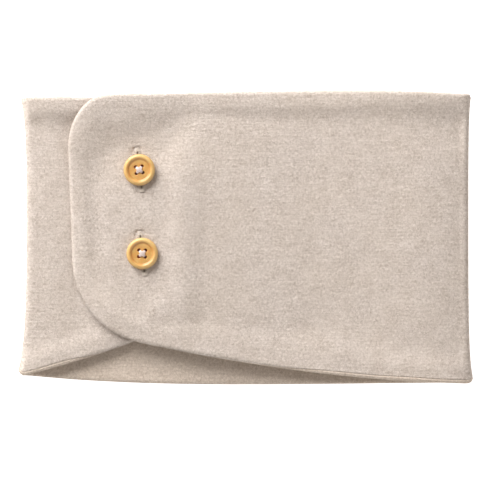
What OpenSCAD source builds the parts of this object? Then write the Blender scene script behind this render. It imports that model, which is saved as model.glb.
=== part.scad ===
// Buttoned hand warmer muff: a double-layer knit band wrapped into a flat tube.
// The back panel lies on z = 0. Two flaps fold over it, one from each side, and
// two buttons on the lower flap come up through buttonholes in the upper one.
// Hands go in through the open ends of the tube, which face +Y and -Y.

/* [Flat size] */
// Width between the two side folds, lying flat
flat_w = 286; // [276:1:300]
// Height of the band, from one open end of the tube to the other
band_h = 186; // [178:1:194]

/* [Cloth] */
// Thickness of the shell, the outer knit
shell_t = 1.4; // [1.2:0.1:1.6]
// Thickness of the lining, the inner knit
lining_t = 1.4; // [1.2:0.1:1.6]
// Free height inside the tube
hand_gap = 6; // [5.6:0.2:8]
// Width of the edge stitching that closes shell and lining
seam_w = 1; // [0.6:0.1:1.5]
// Thickness of the stiffening behind the buttons and buttonholes
interfacing_t = 0.4; // [0.2:0.1:0.6]

/* [Flaps] */
// Distance from the middle of the tube to the outer flap's tip
outer_tip = 113.4; // [108:0.2:118]
// Distance from the middle of the tube to the under flap's tip
under_tip = 24; // [16:1:34]

/* [Buttons] */
// Diameter of a button
button_d = 20; // [18:0.5:20]
// Thickness of a button at its rim
button_t = 4; // [3.4:0.2:4.4]
// Thickness of a button's middle, inside the rim
button_web_t = 2.6; // [2:0.2:2.8]
// Diameter of each sewing hole
sew_hole_d = 2.2; // [1.6:0.1:2.4]
// Spacing of the sewing holes, along each side of their square
sew_hole_pitch = 4.1; // [3.6:0.1:4.6]
// Distance between the two buttons
button_spacing = 53; // [48:1:58]

/* [Buttonholes] */
// Length of a worked buttonhole, with its bar tacks
buttonhole_l = 28; // [26:0.5:29]
// Width of a worked buttonhole
buttonhole_w = 5.4; // [4.8:0.2:6]
// Width of the slit that the button's shank stands in
slit_w = 3; // [2.8:0.1:3.4]
// Lean of each buttonhole from the Y axis
buttonhole_lean = 6.5; // [0:0.5:10]

/* [Hidden] */

$fn = 64;
curve_steps = 8;                  // straight pieces in each curve of an outline
layer_gap = 0.3;                  // air between the two flaps
cloth_t = shell_t + lining_t;

// Heights, from the table up
back_top = cloth_t;
outer_low = back_top + hand_gap;
outer_high = outer_low + cloth_t;
under_high = outer_low - layer_gap;
under_low = under_high - cloth_t;

// Each side fold is half a ring about a level line along Y
right_fold_r = outer_high / 2;
left_fold_r = under_high / 2;
right_fold_x = flat_w / 2 - right_fold_r;
left_fold_x = -flat_w / 2 + left_fold_r;

// Ends of the two folds
top_y = band_h / 2;
low_y = -band_h / 2;
right_top = top_y - 1.7;
right_low = low_y + 0.9;
left_top = top_y - 3.7;
left_low = low_y + 5.6;

// Outlines, seen from above. Each entry is one cubic curve: start, two handles, end
outer_path = [
  [[right_fold_x, right_top], [90, top_y + 1.6], [0, top_y + 0.4], [24 - outer_tip, top_y - 2.8]],
  [[24 - outer_tip, top_y - 2.8], [9 - outer_tip, top_y - 3.4],
   [-outer_tip, top_y - 19], [-outer_tip, top_y - 35]],
  [[-outer_tip, top_y - 35], [-outer_tip, top_y - 53],
   [2 - outer_tip, low_y + 98], [2.4 - outer_tip, low_y + 77]],
  [[2.4 - outer_tip, low_y + 77], [2.8 - outer_tip, low_y + 55],
   [20 - outer_tip, low_y + 34], [-70, low_y + 27.6]],
  [[-70, low_y + 27.6], [-20, low_y + 16.5], [55, low_y + 3], [right_fold_x, right_low]]
];
under_path = [
  [[left_fold_x, left_low], [-116, low_y + 12.5], [-92, low_y + 19.5], [-70, low_y + 28.2]],
  [[-70, low_y + 28.2], [-46, low_y + 37.5], [-under_tip, low_y + 54], [-under_tip, low_y + 84]],
  [[-under_tip, low_y + 84], [-under_tip, low_y + 104], [-under_tip, top_y - 54], [-under_tip, top_y - 34]],
  [[-under_tip, top_y - 34], [-under_tip, top_y - 16],
   [-under_tip - 10, top_y - 3.8], [-under_tip - 24, top_y - 3.4]],
  [[-under_tip - 24, top_y - 3.4], [-80, top_y - 3.2], [-110, top_y - 3.6], [left_fold_x, left_top]]
];
back_top_path = [
  [[right_fold_x, right_top], [70, top_y - 0.6], [-60, top_y - 2.6], [left_fold_x, left_top]]
];
back_bottom_path = [
  [[left_fold_x, left_low], [-60, low_y - 3.1], [30, low_y + 0.2], [right_fold_x, right_low]]
];

// Buttons and buttonholes
button_x = -66.9;
button_mid_y = 16.6;
button_lean = 2;                  // the two buttons' row leans a little from the Y axis
button_dx = button_spacing / 2 * sin(button_lean);
button_dy = button_spacing / 2 * cos(button_lean);
upper_xy = [button_x - button_dx, button_mid_y + button_dy];
lower_xy = [button_x + button_dx, button_mid_y - button_dy];
stitch_rise = 0.3;                // buttonhole stitching above the shell
button_low = outer_high + stitch_rise + layer_gap;
rim_r = button_t / 2;
web_low = 0.3;
tack_w = 3;                       // width of the bar tack at each end of a buttonhole
slit_l = buttonhole_l - 2 * tack_w;
shank_d = 2.4;
knot_d = 4.4;
knot_t = 0.3;
thread_d = 1.3;
cross_w = 1;                      // width of each crossed thread on the button
gather_d = 8.4;                   // thread spread out under the button
thread_rise = 0.6;                // height of the crossed threads on the button
patch_w = button_d + 3.5;         // cloth that gives way as a button passes through
patch_l = patch_w + 10;
outer_stiffener_w = patch_w + 12;
under_stiffener_w = 26;
stiffener_reach = 26;             // how far each stiffener runs past a button, along Y

shell_colour = [0.82, 0.77, 0.72];
lining_colour = [0.72, 0.66, 0.60];
stitch_colour = [0.90, 0.86, 0.81];
interfacing_colour = [0.93, 0.92, 0.90];
button_colour = [0.88, 0.64, 0.24];

function cubic(c, t) =
  pow(1 - t, 3) * c[0] + 3 * t * pow(1 - t, 2) * c[1] + 3 * t * t * (1 - t) * c[2] + pow(t, 3) * c[3];

function outline(path) =
  concat([for (c = path) for (i = [0 : curve_steps - 1]) cubic(c, i / curve_steps)],
         [path[len(path) - 1][3]]);

// The outline moved inwards by d. The body is on the left of the way the outline runs.
// The two ends lie on a fold line, and stay on it.
function inward(a, b) = [a[1] - b[1], b[0] - a[0]] / norm(b - a);
function inset(p, d) =
  [for (i = [0 : len(p) - 1])
    i == 0 || i == len(p) - 1
      ? [p[i][0], p[i][1] - sign(p[i][1]) * d]
      : p[i] + d * inward(p[i - 1], p[i + 1])];

function reversed(p) = [for (i = [len(p) - 1 : -1 : 0]) p[i]];

// A flat sheet between two heights
module sheet(points, low, high) {
  translate([0, 0, low]) linear_extrude(high - low) polygon(points);
}

// A strip of width d just inside an outline
module edge_strip(points, d, low, high) {
  sheet(concat(points, reversed(inset(points, d))), low, high);
}

// Half a ring along Y, bulging to the right, or to the left when mirrored
module half_ring(inner_r, outer_r, y_low, y_high) {
  translate([0, y_high, 0]) rotate([90, 0, 0]) linear_extrude(y_high - y_low)
    difference() {
      intersection() {
        circle(outer_r);
        translate([0, -outer_r]) square([outer_r, 2 * outer_r]);
      }
      circle(inner_r);
    }
}

// A slot shape with round ends, along Y
module slot(length, width) {
  square([width, length - width], center = true);
  for (s = [-1, 1]) translate([0, s * (length - width) / 2]) circle(d = width);
}

module at_button(xy, z) {
  translate([xy[0], xy[1], z]) children();
}

module buttonhole_slot(xy, length, width, low, high) {
  at_button(xy, low) rotate([0, 0, buttonhole_lean]) linear_extrude(high - low) slot(length, width);
}

module both_buttonhole_cuts(low, high) {
  for (xy = [upper_xy, lower_xy]) buttonhole_slot(xy, patch_l, patch_w, low, high);
}

module both_shank_cuts(low, high) {
  for (xy = [upper_xy, lower_xy]) at_button(xy, low) cylinder(d = shank_d, h = high - low);
}

// A strip of interfacing behind both buttons, as wide as w
module stiffener(w, high) {
  translate([button_x - w / 2, button_mid_y - button_spacing / 2 - stiffener_reach, high - interfacing_t])
    cube([w, button_spacing + 2 * stiffener_reach, interfacing_t]);
}

/* Back panel */

module back_panel_shell() {
  color(shell_colour)
    sheet(concat(outline(back_top_path), outline(back_bottom_path)), 0, shell_t);
}

module back_panel_lining() {
  color(lining_colour)
    sheet(concat(inset(outline(back_top_path), seam_w), inset(outline(back_bottom_path), seam_w)),
          shell_t, back_top);
}

module back_top_edge_stitching() {
  color(stitch_colour) edge_strip(outline(back_top_path), seam_w, shell_t, back_top);
}

module back_bottom_edge_stitching() {
  color(stitch_colour) edge_strip(outline(back_bottom_path), seam_w, shell_t, back_top);
}

/* Side folds */

module right_fold(inner_r, outer_r) {
  translate([right_fold_x, 0, right_fold_r])
    half_ring(inner_r, outer_r, right_low, right_top);
}

module left_fold(inner_r, outer_r) {
  translate([left_fold_x, 0, left_fold_r]) mirror([1, 0, 0])
    half_ring(inner_r, outer_r, left_low, left_top);
}

module right_fold_shell() {
  color(shell_colour) right_fold(right_fold_r - shell_t, right_fold_r);
}

module right_fold_lining() {
  color(lining_colour) right_fold(right_fold_r - cloth_t, right_fold_r - shell_t);
}

module left_fold_shell() {
  color(shell_colour) left_fold(left_fold_r - shell_t, left_fold_r);
}

module left_fold_lining() {
  color(lining_colour) left_fold(left_fold_r - cloth_t, left_fold_r - shell_t);
}

/* Outer flap, with the buttonholes */

module outer_flap_shell() {
  color(shell_colour) difference() {
    sheet(outline(outer_path), outer_high - shell_t, outer_high);
    both_buttonhole_cuts(outer_low, outer_high + 1);
  }
}

module outer_flap_lining() {
  lining_high = outer_low + lining_t;
  color(lining_colour) difference() {
    sheet(inset(outline(outer_path), seam_w), outer_low, lining_high);
    both_buttonhole_cuts(outer_low - 1, outer_high);
    stiffener(outer_stiffener_w, lining_high);
  }
}

module outer_flap_interfacing() {
  color(interfacing_colour) difference() {
    stiffener(outer_stiffener_w, outer_low + lining_t);
    both_buttonhole_cuts(outer_low, outer_high);
  }
}

module outer_flap_edge_stitching() {
  color(stitch_colour) edge_strip(outline(outer_path), seam_w, outer_low, outer_low + lining_t);
}

// The cloth round one buttonhole, which stretches open as its button goes through
module buttonhole_cloth(xy) {
  difference() {
    buttonhole_slot(xy, patch_l, patch_w, outer_low, outer_high);
    buttonhole_slot(xy, buttonhole_l, buttonhole_w, outer_low - 1, outer_high + 1);
  }
}

// The close stitching that binds the slit's two edges and ends
module buttonhole_stitching(xy) {
  difference() {
    buttonhole_slot(xy, buttonhole_l, buttonhole_w, outer_low, outer_high + stitch_rise);
    buttonhole_slot(xy, slit_l, slit_w, outer_low - 1, outer_high + 1);
  }
}

module upper_buttonhole_cloth() {
  color(shell_colour) buttonhole_cloth(upper_xy);
}

module lower_buttonhole_cloth() {
  color(shell_colour) buttonhole_cloth(lower_xy);
}

module upper_buttonhole_stitching() {
  color(stitch_colour) buttonhole_stitching(upper_xy);
}

module lower_buttonhole_stitching() {
  color(stitch_colour) buttonhole_stitching(lower_xy);
}

/* Under flap, with the buttons */

module under_flap_shell() {
  color(shell_colour) difference() {
    sheet(outline(under_path), under_high - shell_t, under_high);
    both_shank_cuts(under_low, under_high + 1);
  }
}

module under_flap_lining() {
  lining_high = under_low + lining_t;
  color(lining_colour) difference() {
    sheet(inset(outline(under_path), seam_w), under_low, lining_high);
    both_shank_cuts(under_low - 1, under_high);
    stiffener(under_stiffener_w, lining_high);
  }
}

module under_flap_interfacing() {
  color(interfacing_colour) difference() {
    stiffener(under_stiffener_w, under_low + lining_t);
    both_shank_cuts(under_low, under_high);
  }
}

module under_flap_edge_stitching() {
  color(stitch_colour) edge_strip(outline(under_path), seam_w, under_low, under_low + lining_t);
}

// The wound thread that a button stands on, and its knot under the lining
module button_shank(xy) {
  at_button(xy, under_low) cylinder(d = shank_d, h = button_low - under_low);
  at_button(xy, under_low - knot_t) cylinder(d = knot_d, h = knot_t);
}

module upper_button_shank() {
  color(stitch_colour) button_shank(upper_xy);
}

module lower_button_shank() {
  color(stitch_colour) button_shank(lower_xy);
}

/* Buttons */

module at_sew_holes() {
  for (x = [-1, 1], y = [-1, 1]) translate([x, y] * sew_hole_pitch / 2) children();
}

// A four-hole button: a thin middle inside a fat round rim
module button(xy) {
  rim_x = button_d / 2 - rim_r;
  at_button(xy, button_low) difference() {
    rotate_extrude() {
      translate([rim_x, rim_r]) circle(rim_r);
      translate([0, web_low]) square([rim_x, button_web_t]);
    }
    at_sew_holes() cylinder(d = sew_hole_d, h = button_t);
  }
}

// The thread in the button: four legs, crossed on top and gathered underneath
module button_thread(xy) {
  web_high = web_low + button_web_t;
  cross_l = sew_hole_pitch * sqrt(2);
  at_button(xy, button_low) {
    cylinder(d = gather_d, h = web_low);
    at_sew_holes() cylinder(d = thread_d, h = web_high + thread_rise);
    for (a = [45, 135]) rotate([0, 0, a]) translate([-cross_l / 2, -cross_w / 2, web_high])
      cube([cross_l, cross_w, thread_rise]);
  }
}

module upper_button() {
  color(button_colour) button(upper_xy);
}

module lower_button() {
  color(button_colour) button(lower_xy);
}

module upper_button_thread() {
  color(stitch_colour) button_thread(upper_xy);
}

module lower_button_thread() {
  color(stitch_colour) button_thread(lower_xy);
}

back_panel_shell();
back_panel_lining();
back_top_edge_stitching();
back_bottom_edge_stitching();
right_fold_shell();
right_fold_lining();
left_fold_shell();
left_fold_lining();
outer_flap_shell();
outer_flap_lining();
outer_flap_interfacing();
outer_flap_edge_stitching();
upper_buttonhole_cloth();
lower_buttonhole_cloth();
upper_buttonhole_stitching();
lower_buttonhole_stitching();
under_flap_shell();
under_flap_lining();
under_flap_interfacing();
under_flap_edge_stitching();
upper_button_shank();
lower_button_shank();
upper_button();
lower_button();
upper_button_thread();
lower_button_thread();
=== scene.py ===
import math
import random

import bpy
import bmesh
import numpy as np
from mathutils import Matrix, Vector
from mathutils.geometry import delaunay_2d_cdt


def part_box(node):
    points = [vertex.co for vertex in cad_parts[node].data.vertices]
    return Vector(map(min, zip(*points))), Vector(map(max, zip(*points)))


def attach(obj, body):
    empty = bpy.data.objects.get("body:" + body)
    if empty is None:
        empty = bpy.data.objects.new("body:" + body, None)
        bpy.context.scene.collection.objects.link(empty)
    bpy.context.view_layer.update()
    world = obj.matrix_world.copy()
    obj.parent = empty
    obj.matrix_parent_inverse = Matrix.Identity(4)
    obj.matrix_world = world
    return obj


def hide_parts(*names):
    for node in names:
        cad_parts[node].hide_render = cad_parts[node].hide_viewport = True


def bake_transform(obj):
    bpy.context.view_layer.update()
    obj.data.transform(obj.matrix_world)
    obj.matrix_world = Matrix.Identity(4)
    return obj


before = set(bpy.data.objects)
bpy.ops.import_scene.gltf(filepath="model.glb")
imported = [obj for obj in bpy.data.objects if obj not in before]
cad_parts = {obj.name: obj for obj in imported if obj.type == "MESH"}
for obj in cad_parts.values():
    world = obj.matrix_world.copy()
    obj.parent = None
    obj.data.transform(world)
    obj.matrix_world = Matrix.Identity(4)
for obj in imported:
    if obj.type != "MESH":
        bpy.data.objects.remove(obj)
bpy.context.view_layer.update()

# The object is worked out in millimetres, and made in metres by MM. The stage, the lights and
# the camera are in metres.
MM = 0.001


# ---------------------------------------------------------------- small maths

def box_mm(node):
    """Lowest and highest corner of a CAD node, in millimetres."""
    low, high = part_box(node)
    return np.array(low) / MM, np.array(high) / MM


def ease(x, start, end):
    """0 before start, 1 after end, smooth between. start may be above end."""
    t = np.clip((x - start) / (end - start), 0.0, 1.0)
    return t * t * (3 - 2 * t)


def bell(x, middle, width):
    """1 at the middle, falling smoothly to nothing on both sides."""
    return np.exp(-((x - middle) / width) ** 2)


def ripple(x, y, length, seed):
    """Soft, irregular waves about length apart, from -1 to 1, always the same for a seed."""
    rng = np.random.RandomState(seed)
    total = np.zeros_like(np.asarray(x, float))
    for _ in range(6):
        turn = rng.uniform(0, 2 * math.pi)
        wave = 2 * math.pi / (length * rng.uniform(0.7, 1.5))
        phase = rng.uniform(0, 2 * math.pi)
        total = total + np.sin((x * math.cos(turn) + y * math.sin(turn)) * wave + phase)
    return total / 6 ** 0.5 / 1.6


def resample(points, spacing):
    """The same line with its points an even distance apart."""
    points = np.asarray(points, float)
    along = np.r_[0, np.cumsum(np.linalg.norm(np.diff(points, axis=0), axis=1))]
    count = max(2, int(round(along[-1] / spacing)) + 1)
    at = np.linspace(0, along[-1], count)
    return np.stack([np.interp(at, along, points[:, i]) for i in range(points.shape[1])], 1)


def rounded(points, steps=6):
    """A smooth line through the given points, however unevenly they are spaced."""
    p = np.asarray(points, float)
    along = np.r_[0, np.cumsum(np.linalg.norm(np.diff(p, axis=0), axis=1))]
    slope = np.gradient(p, along, axis=0)
    out = []
    for i in range(len(p) - 1):
        gap = along[i + 1] - along[i]
        for t in np.arange(steps) / steps:
            out.append(p[i] * (1 + 2 * t) * (1 - t) ** 2 + p[i + 1] * t * t * (3 - 2 * t)
                       + gap * (slope[i] * t * (1 - t) ** 2 - slope[i + 1] * t * t * (1 - t)))
    out.append(p[-1])
    return np.array(out)


def left_normals(line):
    """Unit vectors to the left of a line's way, at each of its points."""
    way = np.gradient(line, axis=0)
    way /= np.linalg.norm(way, axis=1)[:, None]
    return np.stack([-way[:, 1], way[:, 0]], 1)


def cross_area(line):
    """Area inside a line whose two ends are joined, above 0 where it runs anticlockwise."""
    x, y = line[:, 0], line[:, 1]
    return 0.5 * np.sum(x * np.roll(y, -1) - np.roll(x, -1) * y)


def outward(loop):
    """Unit vectors that point out of a closed loop, at each of its points."""
    closed = np.vstack([loop[-1:], loop, loop[:1]])
    return left_normals(closed)[1:-1] * (-1 if cross_area(loop) > 0 else 1)


def distance_to(points, line, closed=False):
    """Shortest distance from each 2-D point to a line of straight pieces."""
    if closed:
        line = np.vstack([line, line[:1]])
    a, b = line[:-1], line[1:]
    d = b - a
    long = np.maximum((d * d).sum(1), 1e-12)
    best = np.full(len(points), 1e9)
    for start in range(0, len(points), 2000):
        p = points[start:start + 2000, None, :]
        t = np.clip(((p - a) * d).sum(2) / long, 0, 1)
        near = a + t[..., None] * d
        best[start:start + 2000] = np.sqrt(((p - near) ** 2).sum(2)).min(1)
    return best


def inside(points, loops):
    """True for each point that lies in an odd number of the closed loops."""
    crossed = np.zeros(len(points), int)
    for loop in loops:
        a, b = loop, np.roll(loop, -1, axis=0)
        for start in range(0, len(points), 2000):
            x = points[start:start + 2000, 0, None]
            y = points[start:start + 2000, 1, None]
            spans = (a[:, 1] > y) != (b[:, 1] > y)
            rise = np.where(b[:, 1] == a[:, 1], 1e-12, b[:, 1] - a[:, 1])
            at = a[:, 0] + (y - a[:, 1]) * (b[:, 0] - a[:, 0]) / rise
            crossed[start:start + 2000] += (spans & (x < at)).sum(1)
    return crossed % 2 == 1


def fill(loops, spacing, close=()):
    """Triangles that fill the first closed loop, less the others. The loops' points come first.

    close holds (centre, radius) of round places that need points 0.6 mm apart."""
    edge = np.vstack(loops)
    low, high = loops[0].min(0), loops[0].max(0)
    rows = np.arange(low[1], high[1], spacing * 0.866)
    grid = [(x + (spacing / 2 if i % 2 else 0), y) for i, y in enumerate(rows)
            for x in np.arange(low[0], high[0], spacing)]
    grid = np.array(grid)
    grid = grid[inside(grid, loops)]
    clear = np.ones(len(grid), bool)
    for loop in loops:
        clear &= distance_to(grid, loop, closed=True) > spacing * 0.6
    kept = [edge]
    for centre, radius in close:
        clear &= np.linalg.norm(grid - centre, axis=1) > radius
        steps = np.arange(-radius, radius, 0.6)
        reach = (radius - 0.5) ** 2
        fine = np.array([(centre[0] + a, centre[1] + b + 0.3 * (i % 2))
                         for i, a in enumerate(steps) for b in steps if a * a + b * b < reach])
        fine = fine[inside(fine, loops)]
        for loop in loops:
            fine = fine[distance_to(fine, loop, closed=True) > 0.35]
        kept.append(fine)
    points = np.vstack(kept + [grid[clear]])
    sides = []
    start = 0
    for loop in loops:
        n = len(loop)
        sides += [(start + i, start + (i + 1) % n) for i in range(n)]
        start += n
    made = delaunay_2d_cdt([Vector(p) for p in points], sides, [], 0, 1e-7)
    first = [origin[0] for origin in made[3]]
    triangles = np.array([[first[i] for i in face] for face in made[2]])
    middles = points[triangles].mean(1)
    return points, triangles[inside(middles, loops)]


# ---------------------------------------------------------------- mesh making

def add_object(name, data):
    """A new object in the scene."""
    made = bpy.data.objects.new(name, data)
    bpy.context.scene.collection.objects.link(made)
    return made


class Parts:
    """Gathers points and faces of one piece."""

    def __init__(self):
        self.points = []
        self.faces = []

    def add(self, points, faces=()):
        start = len(self.points)
        self.points += [tuple(p) for p in points]
        self.faces += [tuple(int(i) + start for i in f) for f in faces]
        return start

    def join(self, first, second, count):
        """Faces between two closed rings of count points, given by their first points."""
        for i in range(count):
            j = (i + 1) % count
            self.faces.append((first + i, first + j, second + j, second + i))

    def tube(self, line, radius, sides):
        """A closed round tube along a line, thinner at its two ends."""
        line = np.asarray(line, float)
        way = np.gradient(line, axis=0)
        way /= np.maximum(np.linalg.norm(way, axis=1), 1e-9)[:, None]
        up = np.array([0.0, 0.0, 1.0]) if abs(way[0][2]) < 0.9 else np.array([1.0, 0.0, 0.0])
        points = []
        n = len(line)
        for i in range(n):
            across = np.cross(way[i], up)
            across /= np.linalg.norm(across)
            up = np.cross(across, way[i])
            r = radius * (0.6 if i in (0, n - 1) else 1.0)
            for s in range(sides):
                a = 2 * math.pi * s / sides
                points.append(line[i] + r * (math.cos(a) * across + math.sin(a) * up))
        faces = []
        for i in range(n - 1):
            for s in range(sides):
                t = (s + 1) % sides
                faces.append((i * sides + s, i * sides + t, (i + 1) * sides + t, (i + 1) * sides + s))
        faces.append(tuple(range(sides - 1, -1, -1)))
        faces.append(tuple((n - 1) * sides + s for s in range(sides)))
        self.add(points, faces)

    def build(self, name, material, uv=None, sharp=None):
        """Makes the object. uv gives each point's place on the flat cloth, in millimetres."""
        mesh = bpy.data.meshes.new(name)
        mesh.from_pydata([Vector(p) * MM for p in self.points], [], self.faces)
        work = bmesh.new()
        work.from_mesh(mesh)
        bmesh.ops.recalc_face_normals(work, faces=work.faces)
        work.to_mesh(mesh)
        work.free()
        mesh.polygons.foreach_set("use_smooth", [True] * len(mesh.polygons))
        if sharp:
            flags = [False] * len(mesh.edges)
            for edge in mesh.edges:
                flags[edge.index] = edge.vertices[0] in sharp and edge.vertices[1] in sharp
            kind = mesh.attributes.new("sharp_edge", "BOOLEAN", "EDGE")
            kind.data.foreach_set("value", flags)
        if uv is not None:
            layer = mesh.uv_layers.new(name="cloth_mm")
            corner = np.zeros(len(mesh.loops), int)
            mesh.loops.foreach_get("vertex_index", corner)
            layer.data.foreach_set("uv", np.asarray(uv, np.float32)[corner].ravel())
        mesh.materials.append(material)
        return add_object(name, mesh)


# ---------------------------------------------------------------- materials

class Nodes:
    """A short way to write a node material."""

    def __init__(self, name):
        self.material = bpy.data.materials.new(name)
        self.material.use_nodes = True
        self.tree = self.material.node_tree
        self.shader = self.tree.nodes["Principled BSDF"]

    def node(self, kind, **values):
        made = self.tree.nodes.new(kind)
        for key, value in values.items():
            setattr(made, key, value)
        return made

    def link(self, a, b):
        self.tree.links.new(a, b)

    def put(self, socket, value):
        if isinstance(value, (int, float, tuple)):
            socket.default_value = value
        else:
            self.link(value, socket)

    def maths(self, operation, a, b=0.0):
        made = self.node("ShaderNodeMath", operation=operation)
        for socket, value in zip(made.inputs, (a, b)):
            self.put(socket, value)
        return made.outputs[0]

    def plus(self, a, b):
        return self.maths("ADD", a, b)

    def times(self, a, b):
        return self.maths("MULTIPLY", a, b)

    def tint(self, colour, where, amount, other):
        return self.mix(self.times(where, amount), colour, other)

    def stretched(self, vector, x, y):
        made = self.node("ShaderNodeVectorMath", operation="MULTIPLY")
        self.link(vector, made.inputs[0])
        made.inputs[1].default_value = (x, y, 1.0)
        return made.outputs[0]

    def noise(self, vector, scale, detail=2.0, rough=0.5, twist=0.0):
        made = self.node("ShaderNodeTexNoise")
        self.link(vector, made.inputs["Vector"])
        made.inputs["Scale"].default_value = scale
        made.inputs["Detail"].default_value = detail
        made.inputs["Roughness"].default_value = rough
        made.inputs["Distortion"].default_value = twist
        return made.outputs["Fac"]

    def mix(self, factor, a, b):
        made = self.node("ShaderNodeMix", data_type="RGBA")
        self.put(made.inputs["Factor"], factor)
        self.put(made.inputs[6], a)
        self.put(made.inputs[7], b)
        return made.outputs[2]

    def ramp(self, value, low, high):
        made = self.node("ShaderNodeMapRange")
        self.link(value, made.inputs["Value"])
        made.inputs["From Min"].default_value = low
        made.inputs["From Max"].default_value = high
        return made.outputs["Result"]

    def bump(self, height, strength, distance):
        made = self.node("ShaderNodeBump")
        made.inputs["Strength"].default_value = strength
        made.inputs["Distance"].default_value = distance
        self.link(height, made.inputs["Height"])
        return made.outputs["Normal"]

    def set(self, **values):
        for key, value in values.items():
            self.shader.inputs[key.replace("_", " ")].default_value = value


def linear(r, g, b):
    """A colour given as 0 to 255 on screen."""
    def one(c):
        c /= 255
        return c / 12.92 if c <= 0.04045 else ((c + 0.055) / 1.055) ** 2.4
    return one(r), one(g), one(b), 1.0


def knit_material(name, pale, mid, dark):
    """Brushed jersey: rows of small V stitches under a soft, heathered nap."""
    n = Nodes(name)
    cloth = n.node("ShaderNodeUVMap", uv_map="cloth_mm").outputs["UV"]
    wander = n.noise(cloth, 0.35, 2.0)
    split = n.node("ShaderNodeSeparateXYZ")
    n.link(cloth, split.inputs[0])
    across = n.maths("DIVIDE", split.outputs[0], 1.25)
    across = n.plus(across, n.times(wander, 0.9))
    along = n.maths("DIVIDE", split.outputs[1], 0.95)
    leg = n.maths("PINGPONG", across, 0.5)
    slant = n.plus(along, n.times(leg, 1.3))
    row = n.maths("SINE", n.times(slant, 2 * math.pi))
    wale = n.maths("COSINE", n.times(across, 4 * math.pi))
    stitch = n.plus(n.times(row, 0.30), n.times(wale, -0.16))

    nap = n.noise(cloth, 1.15, 5.0, 0.62, 0.6)
    fibre = n.noise(n.stretched(cloth, 1.0, 3.4), 1.5, 4.0, 0.65, 1.2)
    tuft = n.noise(cloth, 0.45, 3.0, 0.55)
    height = n.plus(stitch, n.times(nap, 3.0))
    height = n.plus(height, n.times(fibre, 0.9))
    height = n.plus(height, n.times(tuft, 2.6))

    heather = n.ramp(n.noise(cloth, 0.70, 5.0, 0.77, 0.8), 0.33, 0.67)
    colour = n.mix(heather, dark, pale)
    colour = n.mix(0.15, colour, mid)
    streak = n.ramp(n.noise(n.stretched(cloth, 0.10, 1.6), 0.55, 3.0, 0.6), 0.35, 0.65)
    colour = n.tint(colour, streak, 0.26, dark)
    mottle = n.ramp(n.noise(cloth, 0.11, 3.0, 0.6), 0.32, 0.68)
    colour = n.tint(colour, mottle, 0.22, pale)
    broad = n.ramp(n.noise(cloth, 0.028, 2.0), 0.35, 0.65)
    colour = n.tint(colour, broad, 0.10, linear(214, 196, 174))
    n.link(colour, n.shader.inputs["Base Color"])
    n.link(n.bump(height, 1.0, 0.00020), n.shader.inputs["Normal"])
    n.set(Roughness=0.94, Sheen_Weight=0.16, Sheen_Roughness=0.30, Specular_IOR_Level=0.12)
    n.shader.inputs["Sheen Tint"].default_value = linear(246, 240, 232)
    return n.material


def interfacing_material():
    """Thin white non-woven, with loose fibres."""
    n = Nodes("interfacing")
    place = n.node("ShaderNodeTexCoord").outputs["Object"]
    fibre = n.noise(n.stretched(place, 1.0, 0.25), 900.0, 4.0, 0.7, 1.5)
    n.link(n.mix(fibre, linear(226, 224, 220), linear(248, 247, 244)), n.shader.inputs["Base Color"])
    n.link(n.bump(fibre, 0.4, 0.0001), n.shader.inputs["Normal"])
    n.set(Roughness=0.85, Sheen_Weight=0.1)
    return n.material


def thread_material(name, pale, dark):
    """Spun sewing thread."""
    n = Nodes(name)
    place = n.node("ShaderNodeTexCoord").outputs["Object"]
    ply = n.noise(place, 2600.0, 3.0, 0.6, 0.4)
    n.link(n.mix(n.ramp(ply, 0.3, 0.7), dark, pale), n.shader.inputs["Base Color"])
    n.link(n.bump(ply, 0.5, 0.00008), n.shader.inputs["Normal"])
    n.set(Roughness=0.72, Sheen_Weight=0.3, Specular_IOR_Level=0.3)
    return n.material


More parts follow.
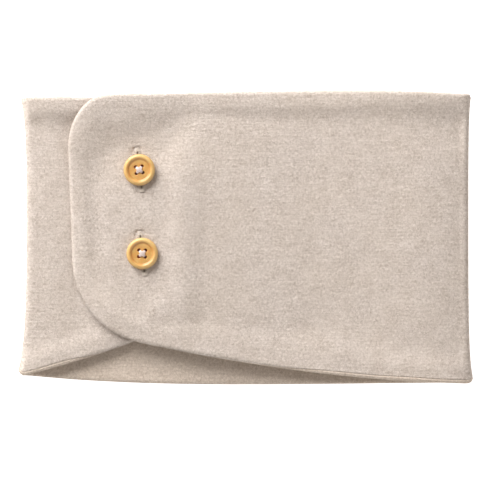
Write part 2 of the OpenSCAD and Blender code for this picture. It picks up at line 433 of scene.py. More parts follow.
def button_material(name, turn):
    """Golden close-grained wood under clear lacquer, with a painted highlight on the raised rim. turn
    swings the grain round.
    """
    n = Nodes(name)
    place = n.node("ShaderNodeTexCoord").outputs["Object"]
    swing = n.node("ShaderNodeVectorRotate", rotation_type="Z_AXIS")
    n.link(place, swing.inputs["Vector"])
    swing.inputs["Angle"].default_value = math.radians(turn)
    grain_place = n.stretched(swing.outputs[0], 1.0, 0.16)
    figure = n.noise(grain_place, 420.0, 4.0, 0.6, 0.8)
    pores = n.noise(n.stretched(swing.outputs[0], 1.0, 0.10), 1700.0, 3.0, 0.6)
    cloud = n.noise(place, 130.0, 2.0, 0.5, 0.5)
    colour = n.mix(n.ramp(cloud, 0.32, 0.68), linear(206, 154, 82), linear(220, 182, 116))
    colour = n.tint(colour, n.ramp(figure, 0.35, 0.7), 0.40, linear(200, 134, 66))
    colour = n.tint(colour, n.ramp(pores, 0.55, 0.75), 0.22, linear(176, 104, 38))
    split = n.node("ShaderNodeSeparateXYZ")
    n.link(place, split.inputs[0])
    flat = n.plus(n.maths("POWER", split.outputs[0], 2.0), n.maths("POWER", split.outputs[1], 2.0))
    radius = n.times(n.maths("SQRT", flat), 1000.0)
    off = n.maths("ABSOLUTE", n.maths("SUBTRACT", radius, 6.75))
    ring = n.maths("SUBTRACT", 1.0, n.ramp(off, 0.0, 0.75))
    colour = n.tint(colour, ring, 0.55, linear(190, 118, 46))
    # painted highlight: the raised outer rim is tinted paler, as if catching the light
    rim = n.ramp(radius, 7.4, 8.8)
    colour = n.tint(colour, rim, 0.35, linear(228, 196, 132))
    drilled = n.ramp(n.times(split.outputs[2], 1000.0), 2.75, 2.35)
    drilled = n.times(drilled, n.ramp(radius, 5.4, 5.0))
    colour = n.mix(drilled, colour, linear(176, 84, 44))
    n.link(colour, n.shader.inputs["Base Color"])
    n.link(n.bump(n.plus(figure, pores), 0.12, 0.0001), n.shader.inputs["Normal"])
    wear = n.noise(place, 700.0, 3.0, 0.6)
    n.link(n.ramp(wear, -0.6, 2.4), n.shader.inputs["Roughness"])
    n.set(Coat_Weight=0.16, Coat_Roughness=0.30, Subsurface_Weight=0.12, Subsurface_Scale=0.002)
    return n.material


def floor_material():
    n = Nodes("studio_floor")
    n.set(Base_Color=(0.93, 0.93, 0.93, 1.0), Roughness=0.9, Emission_Strength=0.85)
    n.shader.inputs["Emission Color"].default_value = (1.0, 1.0, 1.0, 1.0)
    return n.material


SHELL_KNIT = knit_material(
    "shell_knit", linear(245, 234, 226), linear(216, 203, 192), linear(162, 145, 131))
# The lining's colours are paler than the shell's: painted fill light that lifts the shade falling inside
# the band.
LINING_KNIT = knit_material(
    "lining_knit", linear(248, 234, 221), linear(222, 206, 190), linear(176, 156, 138))
INTERFACING = interfacing_material()
THREAD = thread_material("cloth_thread", linear(226, 216, 205), linear(196, 182, 168))
WHITE_THREAD = thread_material("button_thread", linear(238, 222, 216), linear(212, 192, 184))


# ---------------------------------------------------------------- the band's layout, from the frame

SHELL_T = box_mm("back_panel_shell")[1][2]
CLOTH_T = box_mm("back_panel_lining")[1][2]
LINING_T = CLOTH_T - SHELL_T
SPACING = 2.1          # between points of the cloth meshes
RIM = np.array([0, 0.25, 0.55, 0.95, 1.4, 1.9, 2.4, 3.0, 3.7, 4.7, 6.0, 7.4])  # in from the seam
ROUND = 3.3            # length of the profile that turns round the edge, on each face
ROUND_IN = 2.2         # how far in from the edge that turn reaches
SEAM_IN = ROUND_IN + 0.4  # how far in the seam draws the edge
PROUD = 0.45           # how far the nap stands out past the CAD edge
GRID_X = -160.0        # lower left corner of the grid of distances from the flap's edge
GRID_Y = -104.0
GRID_STEP = 2.0
OUTER_FLOOR = -2.45    # the lowest that the outer flap sags
UNDER_FLOOR = -1.0     # the lowest that the under flap sags
SLACK_WAY = (0.82, 0.57)  # the slack fold's direction, from the upper button to the top edge
BUTTONS = ("upper", "lower")
BUTTON_AT = {}         # the middle of each button's lower face
for which in BUTTONS:
    low, high = box_mm(which + "_button")
    BUTTON_AT[which] = np.array([(low[0] + high[0]) / 2, (low[1] + high[1]) / 2, low[2]])
BUTTON_SIZE = np.subtract(*reversed(box_mm("lower_button")))
BUTTON_R = BUTTON_SIZE[0] / 2
BUTTON_T = BUTTON_SIZE[2]


def cad_outline(node):
    """The outer edge of a CAD node's upper face, in order round it."""
    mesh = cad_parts[node].data
    top = max(v.co.z for v in mesh.vertices)
    follow = {}
    for face in mesh.polygons:
        corners = [mesh.vertices[i].co for i in face.vertices]
        if min(c.z for c in corners) < top - 1e-6:
            continue
        keys = [(round(c.x / MM, 3), round(c.y / MM, 3)) for c in corners]
        for a, b in zip(keys, keys[1:] + keys[:1]):
            if (b, a) in follow:
                del follow[(b, a)]
            else:
                follow[(a, b)] = True
    step = dict(follow.keys())
    loops = []
    while step:
        here = next(iter(step))
        loop = []
        while here in step:
            loop.append(here)
            here = step.pop(here)
        loops.append(np.array(loop))
    return max(loops, key=lambda l: np.ptp(l[:, 0]) * np.ptp(l[:, 1]))


class Band:
    """One half of the band: half of the back, one side fold, and the flap it leads to.

    A place on it is (u, v, h): u along the cloth from the middle of the back, round the fold to the
    flap's tip; v along Y; h out from the line between lining and shell, towards the shell.
    """

    def __init__(self, name, side, flap, z_start, z_end):
        self.name = name
        self.side = side
        self.flap = flap
        shell_low, shell_high = box_mm(flap + "_shell")
        self.centre_z = shell_high[2] / 2
        self.middle_r = self.centre_z - SHELL_T
        self.fold_x = shell_high[0] if side > 0 else -shell_low[0]
        self.turn = math.pi * self.middle_r
        self.flap_u = self.fold_x + self.turn
        self.hinge_blend = (z_start, z_end)
        self.edge = self.edge_line()
        self.ways = left_normals(self.edge)
        self.ways[0] = (0, 1)
        self.ways[-1] = (0, -1)
        self.grid = None

    def edge_line(self):
        flip = np.array([self.side, 1])
        back = cad_outline("back_panel_shell") * flip
        flap = cad_outline(self.flap + "_shell") * flip
        ends = [i for i, p in enumerate(flap) if p[0] > self.fold_x - 0.01]
        first = max(ends, key=lambda i: flap[i][1])
        flap = np.roll(flap, -first, axis=0)
        if flap[1][0] > self.fold_x - 0.01:
            flap = np.roll(flap[::-1], 1, axis=0)
        flap = flap[::-1]
        flap = flap if flap[0][1] < 0 else flap[::-1]
        sides = []
        for sign in (-1, 1):
            half = back[back[:, 1] * sign > 0]
            half = half[np.argsort(half[:, 0])]
            inner = half[half[:, 0] > 6.0]
            at_zero = np.interp(0.0, half[:, 0], half[:, 1])
            sides.append(rounded(np.vstack([[0.0, at_zero], inner])))
        tip = rounded(flap)
        tip = np.stack([self.flap_u + self.fold_x - tip[:, 0], tip[:, 1]], 1)
        line = np.vstack([sides[0], tip, sides[1][::-1]])
        line[0, 0] = line[-1, 0] = 0.0
        return resample(line, 1.7)

    def place(self, u, v, h):
        """(u, v, h) to x, y, z, in millimetres."""
        u, v, h = (np.asarray(a, float) for a in (u, v, h))
        angle = np.clip((u - self.fold_x) / self.turn, 0, 1) * math.pi - math.pi / 2
        r = self.middle_r + h
        past = np.clip(u - self.flap_u, 0, None)
        x = np.minimum(u, self.fold_x) + r * np.cos(angle) - past
        z = self.centre_z + r * np.sin(angle)
        on_flap = ease(angle, 0.7, math.pi / 2)
        x_row = self.side * x
        z = z + on_flap * self.sag(x_row, v)
        x_row, y_row = self.drawn_in(x_row, v)
        return np.stack([x_row, y_row, z], -1)

    def along(self, x):
        """How far along the cloth a place on the flap lies, seen from above at x."""
        return self.flap_u + self.fold_x - x * self.side

    def surface(self, x, y, face):
        """Height of the flap's shell or lining at places on it seen from above."""
        x, y = np.asarray(x, float), np.asarray(y, float)
        u = self.along(x)
        rise = thickness(self, face, u, y, self.near_edge(x, y))
        return self.place(u, y, rise if face == "shell" else -rise)[..., 2]

    def near_edge(self, x, y):
        """Distance from the flap's edge, read from a grid of distances with smooth steps between."""
        if self.grid is None:
            columns = np.arange(GRID_X, GRID_STEP - GRID_X, GRID_STEP)
            rows = np.arange(GRID_Y, GRID_STEP - GRID_Y, GRID_STEP)
            gx, gy = np.meshgrid(columns, rows)
            u = self.along(gx)
            flat = np.stack([u.ravel(), gy.ravel()], 1)
            self.grid = distance_to(flat, self.edge).reshape(gx.shape)
            outside = ~inside(flat, [self.edge]).reshape(gx.shape)
            self.grid[outside] *= -1
        i = np.clip((np.asarray(x) - GRID_X) / GRID_STEP, 0, self.grid.shape[1] - 1.001)
        j = np.clip((np.asarray(y) - GRID_Y) / GRID_STEP, 0, self.grid.shape[0] - 1.001)
        left, low = i.astype(int), j.astype(int)
        i, j = i - left, j - low
        under = self.grid[low, left] * (1 - i) + self.grid[low, left + 1] * i
        over = self.grid[low + 1, left] * (1 - i) + self.grid[low + 1, left + 1] * i
        return under * (1 - j) + over * j

    def drawn_in(self, x, y):
        """The side folds are drawn in along their length and flare at the two open ends."""
        to_top = np.clip(self.edge[-1, 1] - y, 0, None)
        to_low = np.clip(y - self.edge[0, 1] - (0 if self.side > 0 else 5.8), 0, None)
        if self.side > 0:
            shift = -1.6 + 1.6 * np.exp(-to_top / 14) + 3.2 * np.exp(-to_low / 19)
        else:
            shift = 2.9 - 4.2 * np.exp(-to_top / 20) - 5.9 * np.exp(-to_low / 25)
        near = ease(np.abs(x), 84, 142)
        from_side = self.fold_x + self.centre_z + PROUD - np.abs(x)
        y = y - 0.7 * quarter_round(from_side, 2.6) * np.exp(-to_top / 4)
        y = y + quarter_round(from_side, 4.6 if self.side > 0 else 6) * np.exp(-to_low / 7)
        tip = ease(x, -86, -111) * (self.side > 0)
        return x + near * shift + 1.5 * tip, y

    def sag(self, x, y):
        """How far the flap's middle line lies above or below its CAD height."""
        if self.flap == "under_flap":
            return under_sag(x, y)
        top_left = ease(y, 28, 62) * ease(x, -30, -62)
        low_middle = ease(y, -30, -60) * ease(x, -62, -30) * ease(x, 100, 60)
        top = ease(y, 50, 75)
        top_right = top * ease(x, 50, 110)
        crest_at = 6.5 + 2 * ease(y, -20, -60) + 1.8 * top - 3.3 * top_right
        width = 7.5 + 7.5 * top_left + 7.5 * low_middle + 2.5 * top_right
        inner, outer = rim_shape(self.near_edge(x, y), crest_at, width)
        across = slack_place(x, y)[1]
        own = -0.90 + 2.7 * top_left * np.clip((across - 8) / 38, 0, 1.2)
        own = own + (2.3 + 0.9 * low_middle + 0.7 * top_right) * inner
        own = own - (0.95 - 0.80 * ease(y, -10, -45) - 0.5 * top_right) * outer
        own = own - 1.5 * ease(y, 40, 75) * ease(x, 95, 140)
        own = own - 1.2 * bell(np.hypot(x + 85, y - 52), 0, 13)
        own = own + shared_sag(x, y)
        middle = ease(x, -24, 22) * ease(x, 118, 62)
        own = own - 0.8 * middle - 0.7 * ease(y, 0, -75) * middle
        own = own + 0.4 * ease(x, 60, 112) - 2.2 * (np.clip(x - 121, 0, 22) / 22) ** 2
        own = own + 0.22 * ripple(x * 0.6, y, 52, 4) * ease(x, -24, 10)
        held = under_sag(np.minimum(x, -26), y) - 0.04 - 0.04 * np.clip(x + 26, 0, None)
        return at_least(at_least(own, held, 0.12), OUTER_FLOOR, 0.03)


def at_least(value, floor, soft):
    """The larger of two, with a smooth change from one to the other."""
    return (value + floor + np.sqrt((value - floor) ** 2 + soft)) / 2


def quarter_round(away, radius):
    """How far a rounded corner has drawn back, at a distance away from the side it turns into."""
    rest = np.clip(radius - away, 0, radius)
    return radius - np.sqrt(radius ** 2 - rest ** 2)


def rim_shape(gap, crest_at, width):
    """The turned edge's roll: 1 at its crest and 0 well inside it, and how far it has rolled down."""
    inner = np.exp(-(np.clip(gap - crest_at, 0, None) / width) ** 2)
    outer = np.clip(1 - gap / crest_at, 0, 1) ** 2
    return inner, outer


def from_button(which, x, y):
    """Distance from a button's middle."""
    bx, by, _ = BUTTON_AT[which]
    return np.hypot(x - bx, y - by)


def slack_place(x, y):
    """Distances along and across the slack fold, from the upper button."""
    bx, by, _ = BUTTON_AT["upper"]
    way_x, way_y = SLACK_WAY
    return (x - bx) * way_x + (y - by) * way_y, -(x - bx) * way_y + (y - by) * way_x


def shared_sag(x, y):
    """Rises and hollows that go through both flaps: the filled-out middle where they are buttoned,
    a dimple at each button, and a slack fold from the upper button towards the top edge."""
    filled = ease(y, -72, -40) * ease(y, 66, 34)
    total = 1.9 * ease(x, -108, -84) * ease(x, -22, -46) * filled
    total = total + 0.8 * bell(x, -39, 10) * filled
    for which in BUTTONS:
        r = from_button(which, x, y)
        total = total - (1.25 * bell(r, 0, 14.5) if which == "upper" else bell(r, 0, 12.5))
    along, across = slack_place(x, y)
    wide = np.where(across > 7, 24, 8)
    slack = bell(across, 7, wide) * ease(along, -12, 20) * ease(along, 70, 42)
    return total - slack


def under_sag(x, y):
    """How far the under flap's middle line lies above or below its CAD height."""
    tip = ease(x, -70, -40)
    inner, outer = rim_shape(LEFT.near_edge(x, y), 7.5 - 1.5 * tip, 7.5 + 13 * tip)
    fall = -0.45 + 0.55 * ease(x, -146, -127) - 1.05 * ease(x, -127, -104)
    rim = 1.8 + ease(y, 50, 75) * ease(x, -100, -112)
    free = fall + rim * inner - 0.5 * outer * (1 - tip) + shared_sag(x, y)
    return at_least(free, UNDER_FLOOR, 0.02)


RIGHT = Band("right", 1, "outer_flap", 3.2, 6.2)
LEFT = Band("left", -1, "under_flap", 3.1, 4.6)


# ---------------------------------------------------------------- cloth thickness and relief

def seam_place(band):
    """Where the seam lies on the edge's profile, at each edge point: 0 is the very edge, and up is
    towards the shell's face, where the seam has rolled on to it along the flaps' lower edges."""
    u, v = band.edge[:, 0], band.edge[:, 1]
    rolled = np.zeros(len(u))
    if band.flap == "outer_flap":
        rolled = 3.8 * ease(u, band.flap_u + 160, band.flap_u + 60) * ease(v, -70.0, -78.0)
    else:
        rolled = 3.8 * ease(u, band.flap_u + 52, band.flap_u + 20) * ease(v, -60.0, -70.0)
    rolled = rolled * ease(u, band.fold_x - 4, band.fold_x + 4)
    return rolled + 0.25 * np.sin(u / 9.0) * (u > band.fold_x)


def crest(band, face, u, x):
    """How much the turned edge stands up above the cloth's own thickness, in millimetres."""
    on_flap = ease(u, band.flap_u - 4, band.flap_u + 6)
    if face == "shell":
        covered = ease(x, -104, -88) * on_flap * (band.flap == "under_flap")
        return 0.12 + 0.26 * on_flap * (1 - covered)
    return 0.25 * (1 - ease(u, band.fold_x - 20, band.fold_x))


def dip(band, face, u):
    """How deep the hollow is that runs along inside the turned edge."""
    if face == "shell":
        return 0.16 * ease(u, band.flap_u - 2, band.flap_u + 14)
    return 0.30 * (1 - ease(u, band.fold_x - 30, band.fold_x - 5))


def relief(band, face, u, x, y):
    """Soft rises and hollows of one face, away from its edges."""
    on_flap = ease(u, band.flap_u, band.flap_u + 20)
    if face == "lining":
        on_back = 1 - ease(u, band.fold_x - 25, band.fold_x)
        return on_back * 0.16 * ripple(x, y, 34, 9)
    if band.flap == "under_flap":
        open_part = 1 - ease(x, -104, -88)
        return on_flap * open_part * 0.14 * ripple(x, y, 26, 3)
    total = 0.13 * ripple(x, y, 36, 7) + 0.07 * ripple(x, y, 15, 8)
    for which in BUTTONS:
        total *= 1 - bell(from_button(which, x, y), 0, 14)
    return on_flap * total


def thickness(band, face, u, v, gap):
    """Height of a face above the line between the layers, a distance gap in from the edge."""
    base = SHELL_T if face == "shell" else LINING_T
    flat = band.place(u, v, 0)
    x, y = flat[..., 0], flat[..., 1]
    ridge = crest(band, face, u, x) * np.exp(-(np.clip(gap - 2.6, 0, None) / 3.2) ** 2)
    hollow = dip(band, face, u) * bell(gap, 13, 6.2)
    settle = ease(gap, 4, 22)
    return base + ridge - hollow + settle * relief(band, face, u, x, y)


def rim_profile(along, height_shell, height_lining):
    """A point on the edge's profile: how far in from the edge, and h. along < 0 is the lining's face."""
    top = np.where(along >= 0, height_shell, height_lining)
    turn = np.clip(np.abs(along) / ROUND, 0, 1) * math.pi / 2
    gap = ROUND_IN * (1 - np.cos(turn)) + np.clip(np.abs(along) - ROUND, 0, None)
    rise = np.sin(turn) * np.where(along >= 0, 1, -1)
    return gap, rise * top


def buttonhole_line(which, length, width, count):
    """A long narrow closed loop round a button's shank, leaning as its buttonhole does."""
    t = np.arange(count) * 2 * math.pi / count
    across = width / 2 * np.sign(np.sin(t)) * np.abs(np.sin(t)) ** 0.7
    along = length / 2 * np.cos(t)
    return BUTTON_AT[which][:2] + across[:, None] * HOLE_SIDE + along[:, None] * HOLE_AXIS


def tack_centre(which, end):
    """The middle of the bar tack at one end of a buttonhole. end is -1 or 1."""
    return BUTTON_AT[which][:2] + HOLE_AXIS * end * (SLIT_L / 2 + 0.75)


def tack_press(x, y):
    """How deep the bar tacks' stitches draw the cloth in, round and under each tack."""
    total = np.zeros_like(x)
    for which in BUTTONS:
        for end in (-1, 1):
            off = np.stack([x, y], -1) - tack_centre(which, end)
            side = np.abs(off @ HOLE_SIDE) - (TACK_W / 2 - 0.3)
            along = np.abs(off @ HOLE_AXIS) - (TACK_L / 2 - 0.3)
            past = np.hypot(np.clip(side, 0, None), np.clip(along, 0, None)) + np.minimum(
                np.maximum(side, along), 0)
            total = total + 0.75 * bell(past, 0.62, 0.42) + 0.25 * ease(past, 0.5, 0.0)
    return total


SLIT_L = 24.4
SLIT_W = 2.6
TACK_W = 4.6
TACK_L = 2.4
LEAN = math.radians(6.5)
HOLE_AXIS = np.array([-math.sin(LEAN), math.cos(LEAN)])
HOLE_SIDE = np.array([math.cos(LEAN), math.sin(LEAN)])
HOLE_RIM = np.array([0.0, 0.22, 0.5, 0.95, 1.6, 2.6])


# ---------------------------------------------------------------- one layer of one half of the band

def cloth_layer(band, face):
    """The shell or the lining of one half: a closed sheet, rolled at its edge to meet the other."""
    sign = 1 if face == "shell" else -1
    other_face = "lining" if face == "shell" else "shell"
    edge, ways = band.edge, band.ways
    n = len(edge)
    seam = seam_place(band) * sign
    rings = []
    flat_rings = []
    for k, step in enumerate(RIM):
        reach = seam + (RIM[-1] - seam) * (step / RIM[-1])
        gap_guess = np.clip(reach, 0, None)
        probe = edge + ways * gap_guess[:, None]
        own = thickness(band, face, probe[:, 0], probe[:, 1], gap_guess)
        other = thickness(band, other_face, probe[:, 0], probe[:, 1], gap_guess)
        gap, h = rim_profile(reach, own, other)
        if k < 3:
            pull = (0.36, 0.14, 0.03)[k]
            gap = gap + (SEAM_IN - gap) * pull
            h = h * (1 - pull)
        at = edge + ways * (gap - PROUD * (1 - step / RIM[-1]))[:, None]
        at[0, 0] = at[-1, 0] = 0.0
        rings.append(band.place(at[:, 0], at[:, 1], sign * h))
        flat_rings.append(at)
    inner = flat_rings[-1]

    holes = []
    if band.flap == "outer_flap":
        for which in BUTTONS:
            loop = buttonhole_line(which, SLIT_L, SLIT_W, 60)
            loop[:, 0] = band.along(loop[:, 0])
            holes.append(loop)
    hole_outs = [outward(loop) for loop in holes]

    cut_count = int((inner[-1, 1] - inner[0, 1]) / SPACING)
    cut = np.linspace(inner[-1, 1], inner[0, 1], cut_count + 1)[1:-1]
    cut = np.stack([np.zeros(len(cut)), cut], 1)
    outer_loop = np.vstack([inner, cut])
    hole_loops = [loop + out * HOLE_RIM[-1] for loop, out in zip(holes, hole_outs)]
    close = []
    for which in BUTTONS if holes else ():
        for end in (-1, 1):
            x, y = tack_centre(which, end)
            close.append((np.array([band.along(x), y]), 4.4))
    flat, triangles = fill([outer_loop] + hole_loops, SPACING, close)
    gaps = distance_to(flat, edge)
    top = thickness(band, face, flat[:, 0], flat[:, 1], gaps)
    for loop in holes:
        away = distance_to(flat, loop, closed=True)
        top = top - 0.22 * bell(away, 2.0, 0.9)
    if holes and face == "shell":
        top = top - tack_press(band.along(flat[:, 0]), flat[:, 1])
    inside_h = 0.05 + 0.16 * ease(gaps, 8.0, 14.0)

    parts = Parts()
    uv = []
    base = parts.add(band.place(flat[:, 0], flat[:, 1], sign * top), triangles)
    uv += list(flat)
    under = parts.add(band.place(flat[:, 0], flat[:, 1], sign * inside_h), triangles[:, ::-1])
    uv += list(flat)
    start = parts.add(np.vstack(rings[:-1]))
    for k in range(len(RIM) - 1):
        reach = seam + (RIM[-1] - seam) * (RIM[k] / RIM[-1])
        back = ways * (reach - RIM[-1])[:, None]
        uv += list(inner + back)

    def ring(k, i):
        return base + i if k == len(RIM) - 1 else start + k * n + i

    faces = []
    for k in range(len(RIM) - 1):
        for i in range(n - 1):
            faces.append((ring(k, i), ring(k, i + 1), ring(k + 1, i + 1), ring(k + 1, i)))
    for i in range(n - 1):
        faces.append((ring(0, i + 1), ring(0, i), under + i, under + i + 1))
    # the straight cut in the middle of the back, where the two halves meet
    for i in (0, n - 1):
        for k in range(len(RIM) - 1):
            faces.append((ring(k, i), ring(k + 1, i), under + i))
    line = [n - 1] + list(range(n, n + len(cut))) + [0]
    for a, b in zip(line, line[1:]):
        faces.append((base + a, base + b, under + b, under + a))
    parts.faces += faces
    sharp = set(base + a for a in line) | set(under + a for a in line)
    sharp |= set(ring(k, i) for k in range(len(RIM)) for i in (0, n - 1))

    # round each buttonhole the cloth turns down into the slit
    at = len(outer_loop)
    for loop, out in zip(holes, hole_outs):
        m = len(loop)
        row_starts = []
        for step in HOLE_RIM[:-1]:
            p = loop + out * step
            own = thickness(band, face, p[:, 0], p[:, 1], distance_to(p, edge)) + 0.10
            h = 0.12 + (own - 0.12) * np.sin(min(1.0, step / 0.95) * math.pi / 2)
            row_starts.append(parts.add(band.place(p[:, 0], p[:, 1], sign * h)))
            uv += list(p)
        row_starts.append(base + at)
        for a, b in zip(row_starts, row_starts[1:]):
            parts.join(a, b, m)
        parts.join(under + at, row_starts[0], m)
        at += m

    flat_uv = np.array(uv) * np.array([band.side, 1])
    material = SHELL_KNIT if face == "shell" else LINING_KNIT
    piece = parts.build(band.name + "_" + face, material, flat_uv, sharp)
    return piece, abs(cross_area(band.edge))


def stand_in(piece, body, slot, *nodes):
    """The piece rides on a body and stands for CAD nodes, which it hides. slot is not used."""
    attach(piece, body)
    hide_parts(*nodes)


def bend(piece):
    """Moves the piece's placing into its mesh, so that the object itself sits unmoved."""
    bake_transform(piece)


FACE_NODES = {
    ("right", "shell"): ["outer_flap_shell", "right_fold_shell", "back_panel_shell",
                         "upper_buttonhole_cloth", "lower_buttonhole_cloth"],
    ("right", "lining"): ["outer_flap_lining", "right_fold_lining", "back_panel_lining"],
    ("left", "shell"): ["under_flap_shell", "left_fold_shell"],
    ("left", "lining"): ["under_flap_lining", "left_fold_lining"],
}


def make_cloth():
    for band in (RIGHT, LEFT):
        for face in ("shell", "lining"):
            piece, area = cloth_layer(band, face)
            bend(piece)
            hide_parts(*FACE_NODES[(band.name, face)])


# ---------------------------------------------------------------- stitching

def edge_stitching(band):
    """Small stitches that lie in the seam, all round the half's open edge."""
    seam = seam_place(band)
    height = [thickness(band, face, band.edge[:, 0], band.edge[:, 1], np.zeros(len(seam)))
              for face in ("shell", "lining")]
    gap, h = rim_profile(seam, height[0], height[1])
    pull = 0.28
    gap = gap + (SEAM_IN - gap) * pull - PROUD
    h = h * (1 - pull)
    at = band.edge + band.ways * gap[:, None]
    line = resample(band.place(at[:, 0], at[:, 1], h), 0.25)
    parts = Parts()
    stitch = 9
    for start in range(4, len(line) - stitch - 3, stitch + 2):
        parts.tube(line[start:start + stitch:2], 0.16, 5)
    piece = parts.build(band.name + "_edge_stitching", THREAD)
    bend(piece)
    nodes = ["outer_flap_edge_stitching", "back_bottom_edge_stitching"] if band.side > 0 else [
        "under_flap_edge_stitching", "back_top_edge_stitching"]
    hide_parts(*nodes)


def buttonhole_stitching(which):
    """Close stitches over both sides of the slit, and a bar tack across each end."""
    loop = buttonhole_line(which, SLIT_L, SLIT_W - 0.5, 400)
    out = outward(loop)
    steps = np.linalg.norm(np.diff(np.vstack([loop, loop[:1]]), axis=0), axis=1)
    along = np.r_[0, np.cumsum(steps)]
    rng = random.Random(5 if which == "upper" else 6)
    parts = Parts()

    def lay(places, rises, face, radius):
        """One thread through places on the cloth, each raised above that face by its own rise."""
        places = np.array(places)
        z = RIGHT.surface(places[:, 0], places[:, 1], face) + np.array(rises)
        parts.tube(np.c_[places, z], radius, 6)

    top_reach = (-0.05, -0.02, 0.10, 0.45, 0.80, 1.00)
    for k in range(int(along[-1] / 0.46)):
        i = int(np.searchsorted(along, k * 0.46)) % len(loop)
        way = out[i] + rng.uniform(-0.10, 0.10) * np.array([-out[i][1], out[i][0]])
        reach = 1.5 + rng.uniform(-0.16, 0.16)
        places = [loop[i] + way * reach * t for t in top_reach]
        lay(places, (-0.8, -0.15, 0.16, 0.24, 0.18, -0.25), "shell", 0.21)
        lay(places, (0.8, 0.15, 0.0, -0.04, 0.0, 0.3), "lining", 0.19)
    lip = [loop[k % len(loop)] + out[k % len(loop)] * 0.12 for k in range(0, len(loop) + 4, 4)]
    lay(lip, [0.30] * len(lip), "shell", 0.20)
    for end in (-1, 1):
        for k in range(8):
            off = (k / 7 - 0.5) * (TACK_L - 0.5)
            half = TACK_W / 2 - 0.35 - 0.45 * (k / 7 if end > 0 else 1 - k / 7) ** 2
            at = tack_centre(which, end) + HOLE_AXIS * (off + rng.uniform(-0.03, 0.03))
            t = np.linspace(-1, 1, 9)
            lift = 0.80 * np.sqrt(np.clip(1 - t * t, 0, 1)) - 0.55
            lay([at + HOLE_SIDE * half * s for s in t], lift, "shell", 0.20)
    piece = parts.build(which + "_buttonhole_stitching.detail", THREAD)
    stand_in(piece, "outer_flap", "thread", which + "_buttonhole_stitching")


# ---------------------------------------------------------------- buttons

HOLE_PITCH = 4.1       # between neighbouring holes
HOLE_R = 1.12
HOLE_LIP = 0.28        # radius of the rounded edge of each hole
RIM_R = 8.2            # where the upper face's rim starts to round over
LOW_R = 7.0            # the same on the lower face
MID_HEIGHT = 0.52      # where the two meet, as a share of the thickness


def button_top(r):
    """Height of a button's upper face at radius r, above its lowest point."""
    web = BUTTON_T - 1.05
    inner = ease(r, 6.3, 7.9)
    outer = np.sqrt(np.clip(1 - (np.clip(r - RIM_R, 0, None) / (BUTTON_R - RIM_R)) ** 2, 0, 1))
    crown = web + (BUTTON_T - web) * inner
    half = BUTTON_T * MID_HEIGHT
    return np.where(r > RIM_R, half + (crown - half) * outer, crown - 0.10 * bell(r, 6.35, 0.4))


def button_low(r):
    """Height of a button's lower face."""
    outer = np.sqrt(np.clip(1 - (np.clip(r - LOW_R, 0, None) / (BUTTON_R - LOW_R)) ** 2, 0, 1))
    half = BUTTON_T * MID_HEIGHT
    return np.where(r > LOW_R, half * (1 - outer), 0.0) + 0.30 * (1 - ease(r, 4.0, 6.5))


def hole_drop(step):
    """How far a hole's rounded edge has turned in, a distance step outside the hole."""
    return HOLE_LIP * (1 - math.sqrt(1 - (1 - step / HOLE_LIP) ** 2))


def make_button(which, turn, grain):
    """A four-hole button. turn swings its holes round, and grain its wood, both in degrees."""
    centre = BUTTON_AT[which]
    count = 96
    t = np.arange(count) * 2 * math.pi / count
    circle = np.stack([np.cos(t), np.sin(t)], 1)
    radii = [BUTTON_R, 9.97, 9.88, 9.7, 9.45, 9.1, 8.7, 8.2, 7.8, 7.4, 7.0, 6.6, 6.2, 5.8]
    hole_t = np.arange(28) * 2 * math.pi / 28
    hole = np.stack([np.cos(hole_t), np.sin(hole_t)], 1)
    swing = math.radians(turn)
    hole_at = []
    for a in (45, 135, 225, 315):
        angle = math.radians(a) + swing
        hole_at.append(HOLE_PITCH / math.sqrt(2) * np.array([math.cos(angle), math.sin(angle)]))
    steps = [0.0, 0.05, 0.14, HOLE_LIP]
    loops = [circle * radii[-1]] + [h + hole * (HOLE_R + steps[-1]) for h in hole_at]
    flat, triangles = fill(loops, 0.8)
    r = np.linalg.norm(flat, axis=1)
    parts = Parts()
    top = parts.add(np.c_[flat, button_top(r)], triangles)
    low = parts.add(np.c_[flat, button_low(r)], triangles[:, ::-1])
    rows_top = []
    rows_low = []
    for radius in radii[:-1]:
        ring = circle * radius
        rr = np.full(count, radius)
        rows_top.append(parts.add(np.c_[ring, button_top(rr)]))
        if radius < BUTTON_R:
            rows_low.append(parts.add(np.c_[ring, button_low(rr)]))
        else:
            rows_low.append(rows_top[0])
    rows_top.append(top)
    rows_low.append(low)
    for rows in (rows_top, rows_low):
        for a, b in zip(rows, rows[1:]):
            parts.join(a, b, count)
    at = count
    m = len(hole)
    for h in hole_at:
        rows = [top + at]
        for step in steps[-2::-1]:
            ring = h + hole * (HOLE_R + step)
            rr = np.linalg.norm(ring, axis=1)
            rows.append(parts.add(np.c_[ring, button_top(rr) - hole_drop(step)]))
        for step in steps[:-1]:
            ring = h + hole * (HOLE_R * 0.45 + step)
            rr = np.linalg.norm(ring, axis=1)
            rows.append(parts.add(np.c_[ring, button_low(rr) + hole_drop(step)]))
        rows.append(low + at)
        for a, b in zip(rows, rows[1:]):
            parts.join(a, b, m)
        at += m
    piece = parts.build(which + "_button.detail", button_material(which + "_button_wood", grain))
    piece.location = Vector(centre) * MM
    stand_in(piece, which + "_button", "button_wood", which + "_button")
    return hole_at


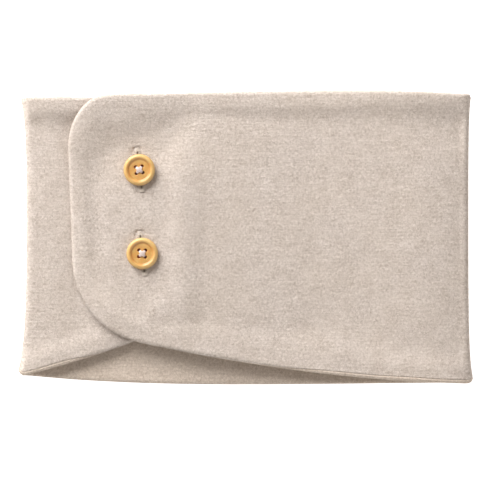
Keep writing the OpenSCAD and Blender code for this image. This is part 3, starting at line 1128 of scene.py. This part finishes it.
def make_button_thread(which, hole_at):
    """Strands through the holes, crossed on top."""
    centre = BUTTON_AT[which]
    web = float(button_top(2.0))
    parts = Parts()
    rng = random.Random(21 if which == "upper" else 22)
    for pair, lift in (((0, 2), 0.0), ((1, 3), 0.34)):
        a, b = hole_at[pair[0]], hole_at[pair[1]]
        way = (b - a) / np.linalg.norm(b - a)
        across = np.array([-way[1], way[0]])
        start = a + way * HOLE_R * 0.55
        end = b - way * HOLE_R * 0.55
        for k in range(4):
            off = across * ((k - 1.5) * 0.44 + rng.uniform(-0.05, 0.05))
            pile = 0.20 if k in (1, 2) else 0.0
            line = [(*(start * 0.35 + off * 0.4), -0.05)]
            line.append((*(start * 0.9 + off * 0.7), 0.5))
            line.append((*(start + off * 0.8), web - 0.5))
            for t in np.linspace(0.0, 1.0, 9):
                p = start + (end - start) * t + off * (0.8 + 0.5 * math.sin(math.pi * t))
                up = web + 0.12 + (0.42 + lift + pile) * math.sin(math.pi * t) ** 0.6
                line.append((p[0], p[1], up))
            line.append((*(end + off * 0.8), web - 0.5))
            line.append((*(end * 0.9 + off * 0.7), 0.5))
            line.append((*(end * 0.35 + off * 0.4), -0.05))
            parts.tube(rounded(line, 3), 0.27, 8)
    piece = parts.build(which + "_button_thread.detail", WHITE_THREAD)
    piece.location = Vector(centre) * MM
    stand_in(piece, which + "_button", "thread", which + "_button_thread")


def make_button_shank(which):
    """Thread wound round the button's stem, and the knot where it is fastened under the lining."""
    centre = BUTTON_AT[which]
    low_z = box_mm("under_flap_lining")[0][2] - centre[2]
    high_z = 0.25
    parts = Parts()
    turns = 15
    line = []
    for k in range(turns * 12 + 1):
        t = k / (turns * 12)
        a = 2 * math.pi * turns * t
        r = 0.95 + 0.12 * math.cos(2 * math.pi * t)
        line.append((r * math.cos(a), r * math.sin(a), low_z + (high_z - low_z) * t))
    parts.tube(line, 0.23, 6)
    parts.tube([(0, 0, low_z), (0, 0, low_z * 0.5), (0, 0, high_z)], 0.9, 10)
    rng = random.Random(31 if which == "upper" else 32)
    for k in range(8):
        a = math.pi * k / 8 + rng.uniform(-0.1, 0.1)
        way = np.array([math.cos(a), math.sin(a)])
        line = []
        for t in np.linspace(-1, 1, 7):
            p = way * t * (2.1 + rng.uniform(-0.05, 0.05))
            line.append((p[0], p[1], low_z - 0.10 - 0.10 * (k % 3) * (1 - t * t) + 0.25 * t * t))
        parts.tube(line, 0.18, 6)
    piece = parts.build(which + "_button_shank.detail", WHITE_THREAD)
    piece.location = Vector(centre) * MM
    stand_in(piece, "under_flap", "thread", which + "_button_shank")


# ---------------------------------------------------------------- interfacing

def make_interfacing(flap, band):
    """A thin stiffener between the flap's two layers, behind the buttons or buttonholes."""
    node = flap + "_interfacing"
    low, high = box_mm(node)
    inset = 0.4
    corners = [(low[0] + inset, low[1] + inset), (high[0] - inset, low[1] + inset),
               (high[0] - inset, high[1] - inset), (low[0] + inset, high[1] - inset)]
    border = resample(np.array(corners + corners[:1]), 3.0)[:-1]
    loops = [border]
    for which in BUTTONS:
        if flap == "outer_flap":
            loops.append(buttonhole_line(which, SLIT_L + 6, SLIT_W + 5, 40))
        else:
            loops.append(buttonhole_line(which, 3.2, 3.2, 24))
    flat, triangles = fill(loops, 3.0)
    u = band.along(flat[:, 0])
    parts = Parts()
    h = 0.15
    top = parts.add(band.place(u, flat[:, 1], h), triangles)
    under = parts.add(band.place(u, flat[:, 1], -h), triangles[:, ::-1])
    at = 0
    for loop in loops:
        parts.join(top + at, under + at, len(loop))
        at += len(loop)
    piece = parts.build(node + ".detail", INTERFACING)
    stand_in(piece, flap, "interfacing", node)


# ---------------------------------------------------------------- stage, light and camera

def make_stage():
    """A white floor, and a low white wall all round it for the views from the side."""
    size = 4.0
    floor_z = -0.0001
    mesh = bpy.data.meshes.new("floor")
    corners = [(x * size, y * size, floor_z) for x, y in ((-1, -1), (1, -1), (1, 1), (-1, 1))]
    mesh.from_pydata(corners, [], [(0, 1, 2, 3)])
    mesh.materials.append(floor_material())
    floor = add_object("floor", mesh)
    count = 64
    reach, height = 3.8, 1.1
    ring = [(reach * math.cos(2 * math.pi * i / count), reach * math.sin(2 * math.pi * i / count))
            for i in range(count)]
    mesh = bpy.data.meshes.new("backdrop")
    corners = [(x, y, z) for z in (floor_z, height) for x, y in ring]
    faces = [(i, (i + 1) % count, count + (i + 1) % count, count + i) for i in range(count)]
    mesh.from_pydata(corners, [], faces)
    mesh.materials.append(floor.data.materials[0])
    backdrop = add_object("backdrop", mesh)
    backdrop.visible_diffuse = False


def make_light(name, at, energy, size):
    """A square light, in metres and watts, that faces the object."""
    data = bpy.data.lights.new(name, "AREA")
    data.energy = energy
    data.size = size
    light = add_object(name, data)
    light.location = at
    light.rotation_euler = (-Vector(at)).to_track_quat("-Z", "Y").to_euler()


def make_camera():
    """Straight above, as the object was photographed, a little below its middle."""
    data = bpy.data.cameras.new("camera")
    height = 1.30
    seen = 0.3124     # how much of the plane at seen_z the picture takes in
    seen_z = 0.010
    aim_x, aim_y = -0.0003, -0.0051
    data.sensor_width = 36.0
    data.lens = data.sensor_width * (height - seen_z) / seen
    camera = add_object("camera", data)
    camera.location = (aim_x, aim_y, height)
    bpy.context.scene.camera = camera


make_camera()
make_stage()
make_light("key", (-0.80, 1.15, 0.70), 50.0, 1.2)
make_light("fill", (0.5, -1.1, 0.9), 5.5, 1.4)
world = bpy.data.worlds.new("studio")
world.use_nodes = True
world.node_tree.nodes["Background"].inputs["Color"].default_value = (1.0, 0.945, 0.88, 1.0)
world.node_tree.nodes["Background"].inputs["Strength"].default_value = 0.31
bpy.context.scene.world = world
bpy.context.scene.view_settings.view_transform = "Standard"

make_cloth()
for half in (RIGHT, LEFT):
    edge_stitching(half)
for which in BUTTONS:
    buttonhole_stitching(which)
    make_button_shank(which)
for which, turn, grain in (("upper", 8.0, 62.0), ("lower", -2.0, 100.0)):
    make_button_thread(which, make_button(which, turn, grain))
make_interfacing("outer_flap", RIGHT)
make_interfacing("under_flap", LEFT)
